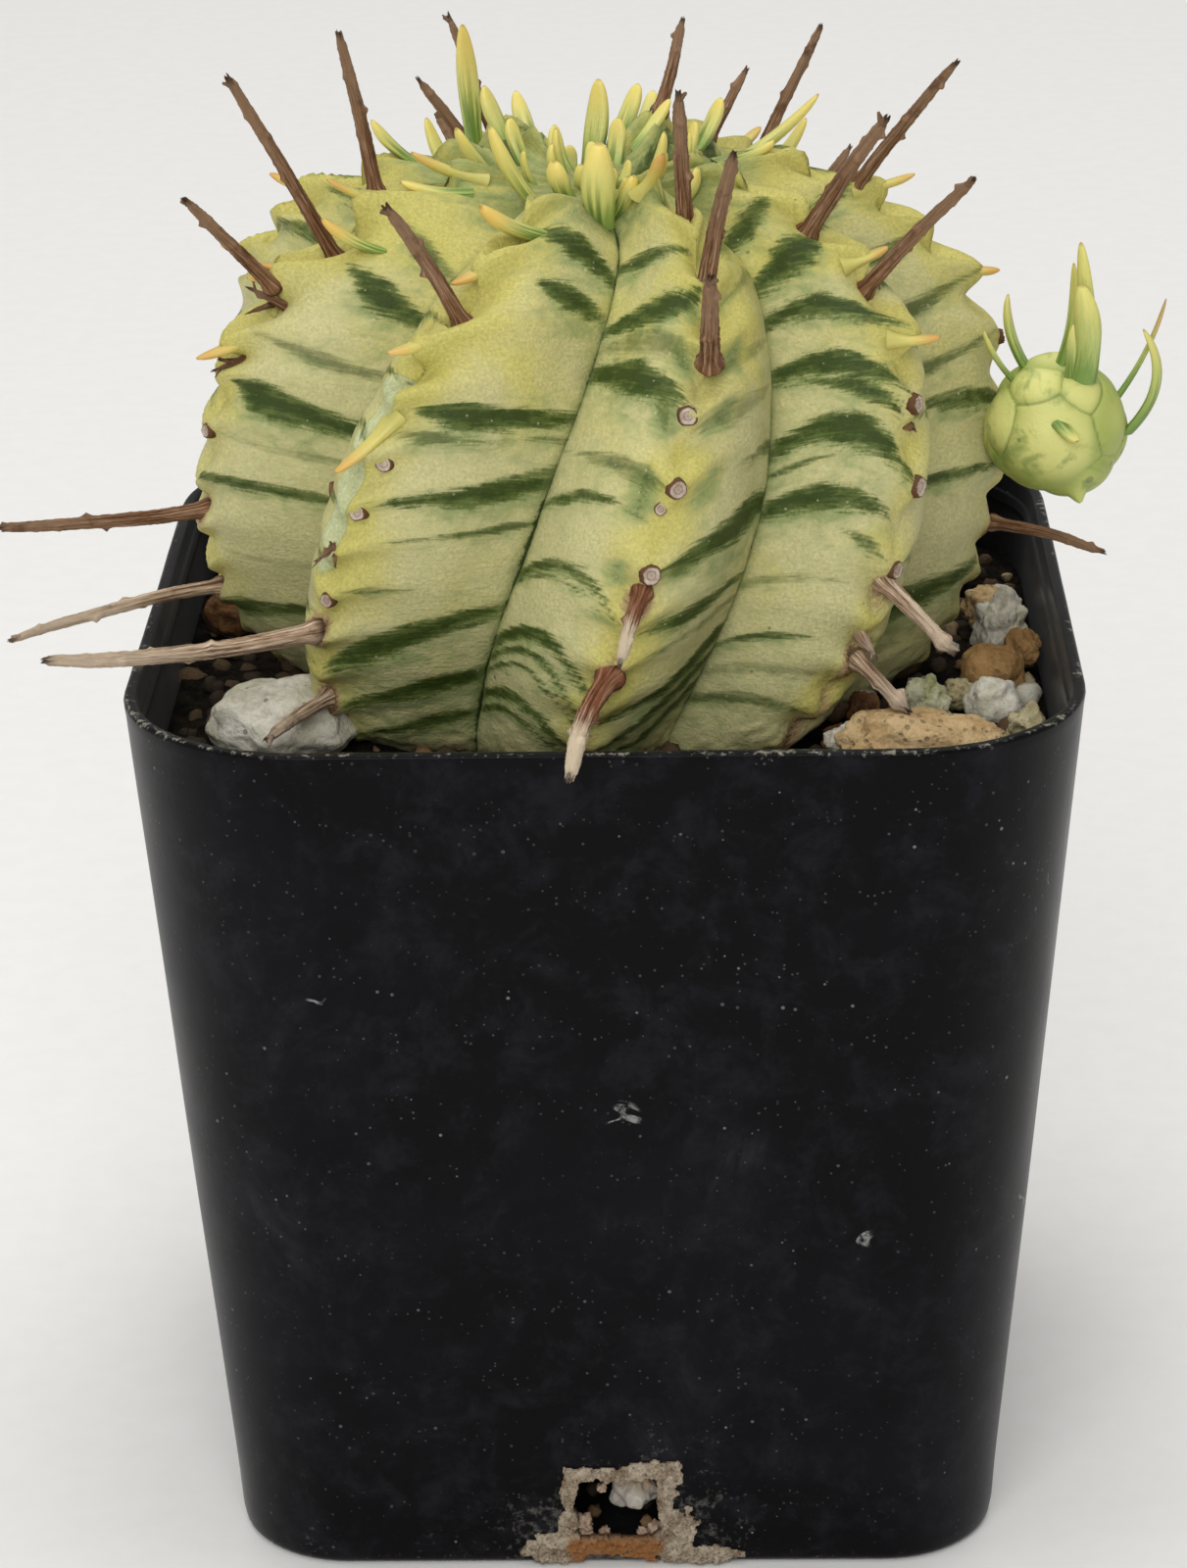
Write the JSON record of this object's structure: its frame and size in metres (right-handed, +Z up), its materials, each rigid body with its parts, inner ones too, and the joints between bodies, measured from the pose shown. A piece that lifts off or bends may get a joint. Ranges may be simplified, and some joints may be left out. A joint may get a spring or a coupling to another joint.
{
  "type": "potted euphorbia",
  "caption": "Ribbed, variegated globular euphorbia with dry flower stalks, crown leaves and an offset, in a square black plastic nursery pot with gravel.",
  "frame": {"origin": "centre of the pot's underside, on the surface that the pot stands on", "axes": "+Z up, +X to the plant's right where the offset grows, -Y to the front"},
  "size_m": [0.0928, 0.0785, 0.1222],
  "materials": {
    "pot": "black injection-moulded plastic, satin, dusty, lime-scuffed at the rim and the drain holes",
    "potting_mix": "dark gritty potting mix, matt",
    "plant_body": "living skin, cream-yellow with dark green chevron bands, matt and waxy",
    "offset_body": "young living skin, pale green, waxy",
    "crown_leaf": "fleshy leaf, yellow to green, satin",
    "offset_leaf": "fleshy leaf, green, satin",
    "dry_peduncle": "dry woody stalk, brown grey, fibrous",
    "dry_peduncle_bleached": "dry woody stalk, bleached beige, fibrous",
    "pumice_white": "white pumice, pitted, matt",
    "stone_tan": "tan gravel, matt",
    "stone_brown": "brown gravel, matt",
    "stone_cream": "cream gravel, pitted, matt"
  },
  "bodies": {
    "root": {"chip_brown_right": "stone_brown", "chip_white_right": "pumice_white", "leaf_back_1": "crown_leaf", "leaf_back_left_1": "crown_leaf", "leaf_back_right_1": "crown_leaf", "leaf_back_right_2": "crown_leaf", "leaf_centre_1": "crown_leaf", "leaf_front_1": "crown_leaf", "leaf_front_left_1": "crown_leaf", "leaf_front_left_2": "crown_leaf", "leaf_front_right_1": "crown_leaf", "leaf_left_1": "crown_leaf", "leaf_left_2": "crown_leaf", "leaf_left_3": "crown_leaf", "leaf_right_1": "crown_leaf", "offset_body": "offset_body", "offset_leaf_1": "offset_leaf", "offset_leaf_2": "offset_leaf", "offset_leaf_3": "offset_leaf", "offset_leaf_4": "offset_leaf", "offset_leaf_5": "offset_leaf", "pebble_back": "stone_cream", "pebble_left": "stone_tan", "pebble_oval_right": "pumice_white", "pebble_pale_right": "stone_cream", "pebble_tan_right": "stone_tan", "peduncle_back_1": "dry_peduncle", "peduncle_back_2": "dry_peduncle", "peduncle_back_right_1": "dry_peduncle", "peduncle_back_right_2": "dry_peduncle", "peduncle_back_right_3": "dry_peduncle", "peduncle_front_1": "dry_peduncle", "peduncle_front_2": "dry_peduncle", "peduncle_front_3": "dry_peduncle", "peduncle_front_4": "dry_peduncle", "peduncle_front_5": "dry_peduncle_bleached", "peduncle_front_left_1": "dry_peduncle", "peduncle_front_left_2": "dry_peduncle_bleached", "peduncle_front_left_3": "dry_peduncle_bleached", "peduncle_front_right_1": "dry_peduncle", "peduncle_front_right_2": "dry_peduncle", "peduncle_front_right_3": "dry_peduncle_bleached", "peduncle_front_right_4": "dry_peduncle_bleached", "peduncle_left_1": "dry_peduncle", "peduncle_left_2": "dry_peduncle", "peduncle_left_3": "dry_peduncle", "peduncle_left_4": "dry_peduncle", "peduncle_left_5": "dry_peduncle_bleached", "peduncle_right_1": "dry_peduncle", "peduncle_right_2": "dry_peduncle", "plant_body": "plant_body", "pot": "pot", "potting_mix": "potting_mix", "pumice_back_left": "pumice_white", "pumice_front_left": "pumice_white", "pumice_holed_right": "stone_cream", "pumice_right": "pumice_white", "stone_back_right": "stone_brown", "stone_tan_front_right": "stone_tan"}
  },
  "joints": []
}
